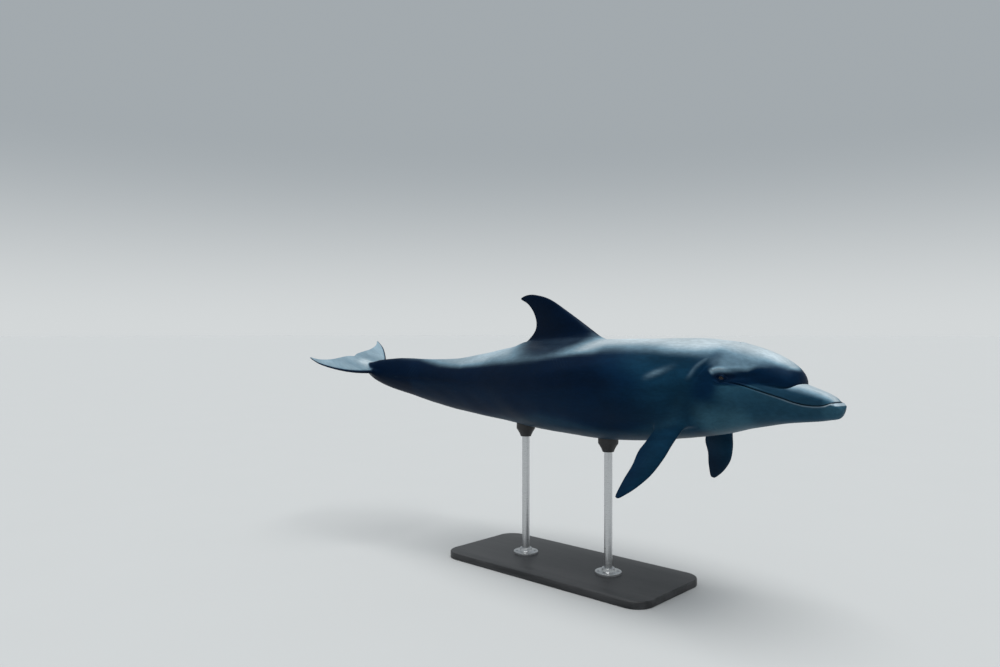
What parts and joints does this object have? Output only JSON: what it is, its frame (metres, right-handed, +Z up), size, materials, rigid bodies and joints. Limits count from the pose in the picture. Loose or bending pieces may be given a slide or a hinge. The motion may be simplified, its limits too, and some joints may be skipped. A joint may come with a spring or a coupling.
{
  "type": "bottlenose dolphin display model",
  "caption": "Life-size still bottlenose dolphin, swimming and turning gently to its right, held by two rods on a flat display base.",
  "frame": {"origin": "middle of the stand base's underside, on the floor", "axes": "+X along the animal towards its head, +Y to its left, +Z up"},
  "size_m": [2.4603, 0.7352, 1.1283],
  "materials": {
    "skin": "smooth, satin wet-looking skin, pale grey back and belly, dark slate sides and fins",
    "eye": "glossy dark brown",
    "stand_board": "satin dark grey painted board",
    "stand_steel": "brushed",
    "stand_rubber": "matt black"
  },
  "bodies": {
    "root": {"upper_jaw": "skin", "lower_jaw": "skin", "melon": "skin", "head": "skin", "trunk_front": "skin", "trunk_rear": "skin", "tail_stock": "skin", "dorsal_fin": "skin", "flipper_left": "skin", "flipper_right": "skin", "fluke_left": "skin", "fluke_right": "skin", "eye_left": "eye", "eye_right": "eye", "stand_base": "stand_board", "stand_rod_front": "stand_steel", "stand_rod_rear": "stand_steel", "stand_flange_front": "stand_steel", "stand_flange_rear": "stand_steel", "stand_collar_front": "stand_rubber", "stand_collar_rear": "stand_rubber"}
  },
  "joints": []
}
